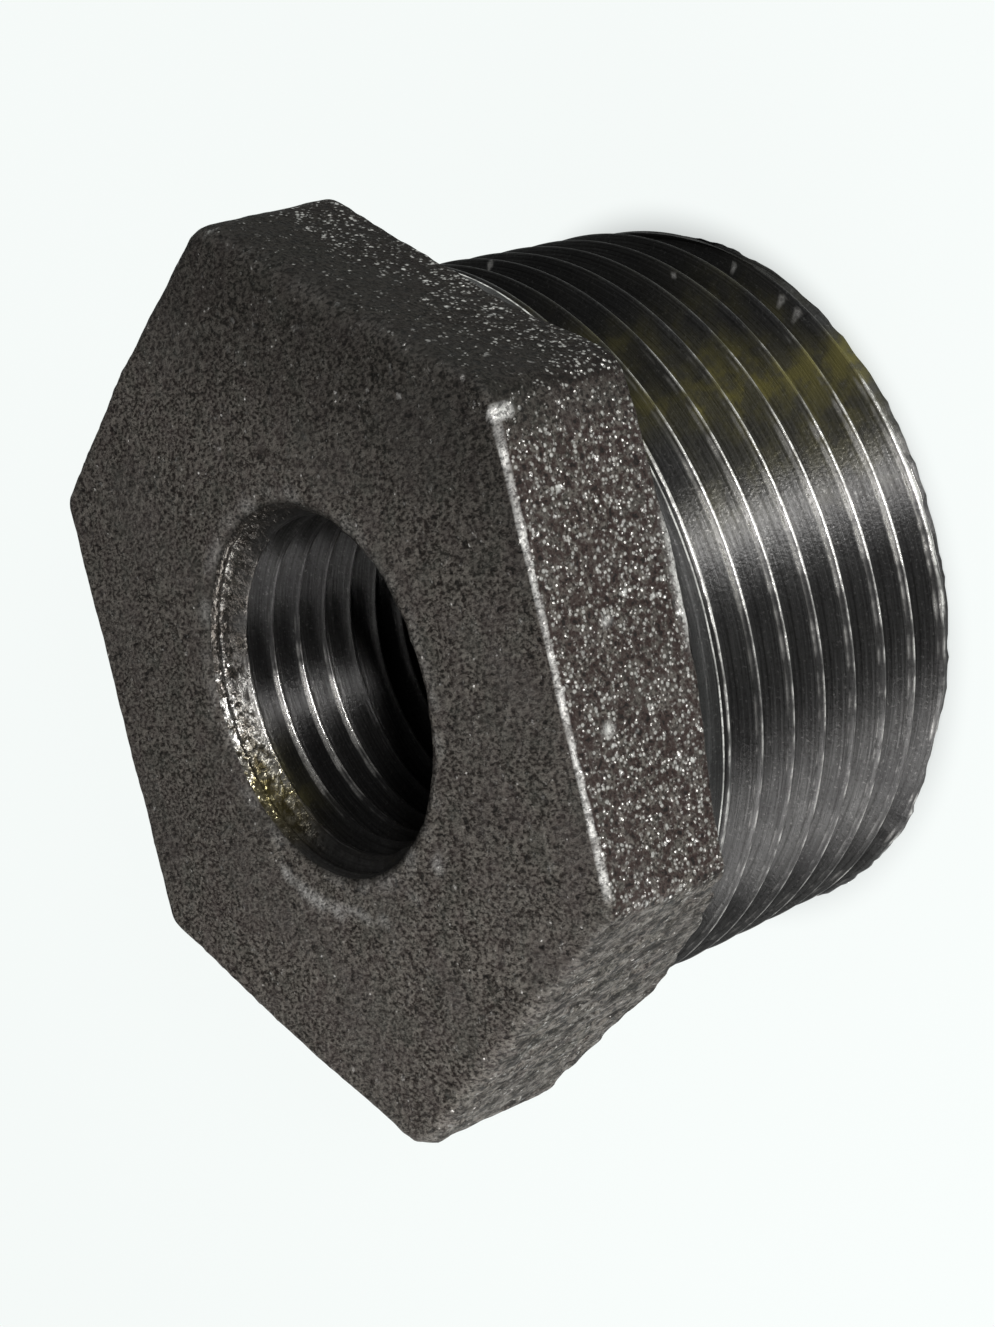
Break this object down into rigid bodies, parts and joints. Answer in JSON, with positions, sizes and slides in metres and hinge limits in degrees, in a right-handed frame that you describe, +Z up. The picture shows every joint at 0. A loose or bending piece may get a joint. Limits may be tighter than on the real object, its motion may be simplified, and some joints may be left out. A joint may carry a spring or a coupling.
{
  "type": "hexagon reducing bush",
  "caption": "Black cast-iron hexagon reducing bush with a male taper pipe thread outside and a smaller female pipe thread through its hexagon head.",
  "frame": {"origin": "centre of the threaded end face, on the axis of the bore", "axes": "+Z up the bore to the hexagon face, +X to one of the two dressed corners of the hexagon, flats square to Y"},
  "size_m": [0.051, 0.045, 0.0275],
  "materials": {
    "black_iron": "black as-cast skin on the hexagon, oiled bare machined iron on both threads"
  },
  "bodies": {
    "root": {"reducing_bush": "black_iron"}
  },
  "joints": []
}
